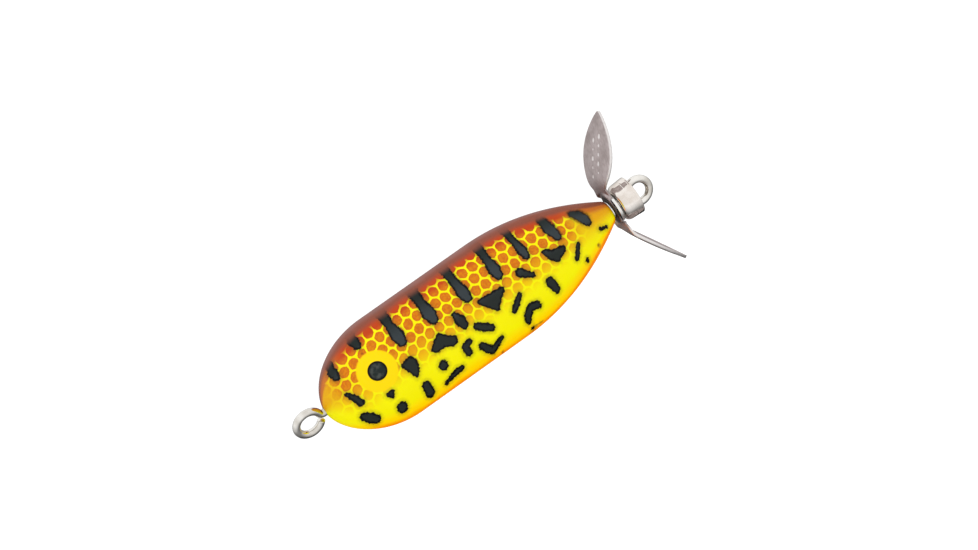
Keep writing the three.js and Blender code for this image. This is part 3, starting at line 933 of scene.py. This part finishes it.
def ballast_metal():
    """Plain cut bar."""
    light = paint(128, 128, 132)
    dark = paint(84, 84, 88)
    return metal("ballast_steel", light, dark, 0.45, 0.6, (0.3, 1, 1), 0.03)


# ---- the studio ------------------------------------------------------------------------------------

AIM = Vector((31.4, 0, 2.3)) * MM
CAMERA_DISTANCE = 340 * MM
CAMERA_YAW = math.radians(9)  # towards the nose
CAMERA_ROLL = math.radians(35.2)  # tips the bait's tail up in the picture
CAMERA_LENS = 92.5
SUN_STRENGTH = 1.5
SUN_SPREAD = math.radians(130)
SUN_HEADING = Vector((0.2, 0.3, -0.93))
WHITE_STRENGTH = 1.1  # just enough that the picture's background is pure white
FLOOR_DEPTH = 50  # under the bait's lowest point
FLOOR_HALF = 4000
FLOOR_CORNERS = [(-1, -1), (1, -1), (1, 1), (-1, 1)]
FLOOR_GREY = (0.93, 0.93, 0.93, 1)
FLOOR_WHITE = (0.95, 0.95, 0.95, 1)


def add_camera():
    """The camera, level with the bait's left flank and turned a little towards its nose."""
    data = bpy.data.cameras.new("camera")
    data.lens = CAMERA_LENS
    data.clip_start = 10 * MM
    data.clip_end = 5 * FLOOR_HALF * MM
    camera = bpy.data.objects.new("camera", data)
    bpy.context.scene.collection.objects.link(camera)
    bpy.context.scene.camera = camera
    back = Vector((-math.sin(CAMERA_YAW), -math.cos(CAMERA_YAW), 0))
    upright = (-back).to_track_quat("-Z", "Y").to_matrix().to_4x4()
    placed = Matrix.Translation(AIM + CAMERA_DISTANCE * back)
    camera.matrix_world = placed @ upright @ Matrix.Rotation(-CAMERA_ROLL, 4, "Z")


def add_sun():
    """A broad overhead light that reaches the whole floor alike and isn't mirrored in metal."""
    data = bpy.data.lights.new("overhead", "SUN")
    data.energy = SUN_STRENGTH
    data.angle = SUN_SPREAD
    sun = bpy.data.objects.new("overhead", data)
    bpy.context.scene.collection.objects.link(sun)
    sun.visible_glossy = False
    sun.rotation_euler = SUN_HEADING.to_track_quat("-Z", "Y").to_euler()


# The room's brightness from in front of and above the bait (0) to behind and below it (1): a
# white tent in front, a greyer room behind and a dark panel that draws the edges of the metal.
ROOM_SHADES = [(0.0, 1.0), (0.45, 0.95), (0.6, 0.74), (0.74, 0.5)]
ROOM_SHADES += [(0.82, 0.26), (0.93, 0.16), (0.97, 0.01)]
ROOM_AXIS = (0, 0.77, -0.64)


def add_world():
    """The room, as light and in reflections. Where the camera looks past the bait it is white."""
    world = bpy.data.worlds.new("world")
    world.use_nodes = True
    bpy.context.scene.world = world
    nodes = world.node_tree.nodes
    links = world.node_tree.links
    along = nodes.new("ShaderNodeVectorMath")
    along.operation = "DOT_PRODUCT"
    links.new(nodes.new("ShaderNodeTexCoord").outputs["Generated"], along.inputs[0])
    along.inputs[1].default_value = ROOM_AXIS
    behind = nodes.new("ShaderNodeMapRange")
    behind.inputs["From Min"].default_value = -1
    links.new(along.outputs["Value"], behind.inputs["Value"])
    shade = nodes.new("ShaderNodeValToRGB")
    links.new(behind.outputs[0], shade.inputs[0])
    elements = shade.color_ramp.elements
    while len(elements) < len(ROOM_SHADES):
        elements.new(1.0)
    for element, (position, value) in zip(elements, ROOM_SHADES):
        element.position = position
        element.color = (value, value, value, 1)
    room = nodes["Background"]
    links.new(shade.outputs["Color"], room.inputs["Color"])
    white = nodes.new("ShaderNodeBackground")
    white.inputs["Color"].default_value = (1, 1, 1, 1)
    white.inputs["Strength"].default_value = WHITE_STRENGTH
    seen = nodes.new("ShaderNodeLightPath").outputs["Is Camera Ray"]
    choose = nodes.new("ShaderNodeMixShader")
    links.new(seen, choose.inputs[0])
    links.new(room.outputs[0], choose.inputs[1])
    links.new(white.outputs[0], choose.inputs[2])
    links.new(choose.outputs[0], nodes["World Output"].inputs["Surface"])


def add_floor():
    """A plain white floor, far enough under the hanging bait for its shadow to be faint."""
    height = packed_bounds[0].z / MM - FLOOR_DEPTH
    outline = [(side_x * FLOOR_HALF, side_y * FLOOR_HALF, height) for side_x, side_y in FLOOR_CORNERS]
    floor = new_mesh("floor", outline, [(0, 1, 2, 3)])
    nodes = Nodes("floor")
    nodes.set(
        Base_Color=nodes.mix(nodes.noise(30, 2.0), FLOOR_GREY, FLOOR_WHITE),
        Roughness=0.9,
        Specular_IOR_Level=0.0,
    )
    floor.data.materials.append(nodes.material)
    floor.visible_glossy = False  # so that the metal shows the room's darker lower part


# ---- the bait ----------------------------------------------------------------------------------------


def fit(piece, node, body, material):
    """Puts a piece in the place of a CAD node, on that node's body."""
    piece.data.materials.append(material)
    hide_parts(node)
    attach(piece, body)


painted = body_paint()
fit(body_half("painted_left_half", -1), "left_body_half", "body", painted)
fit(body_half("painted_right_half", 1), "right_body_half", "body", painted)

wire = wire_metal()
nose_turn = Matrix.Rotation(NOSE_RING_ROLL, 4, "X") @ Matrix.Rotation(math.pi, 4, "Z")
nose_eye = screw_eye("nose_eye", NOSE_RING_RADIUS, NOSE_X, nose_turn)
fit(nose_eye, "nose_screw_eye", "body", wire)
tail_turn = Matrix.Translation((TAIL_RING_X * MM, 0, 0)) @ Matrix.Rotation(TAIL_RING_ROLL, 4, "X")
tail_eye = screw_eye("tail_eye", TAIL_RING_RADIUS, TAIL_RING_X - TAIL_X, tail_turn)
fit(tail_eye, "tail_screw_eye", "body", wire)

plated = washer_metal()
small_washer = washer("small_washer", "front_washer", FRONT_WASHER_X)
large_washer = washer("large_washer", "rear_washer", REAR_WASHER_X)
fit(small_washer, "front_washer", "front_washer", plated)
fit(large_washer, "rear_washer", "rear_washer", plated)
fit(propeller("stamped_propeller"), "propeller", "propeller", blade_metal())
fit(bell("pressed_bell"), "bell_cup", "bell", bell_metal())

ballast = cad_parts["ballast_slug"]
ballast.data.materials.clear()
ballast.data.materials.append(ballast_metal())

add_camera()
add_world()
add_floor()
add_sun()
bpy.context.scene.view_settings.view_transform = "Standard"
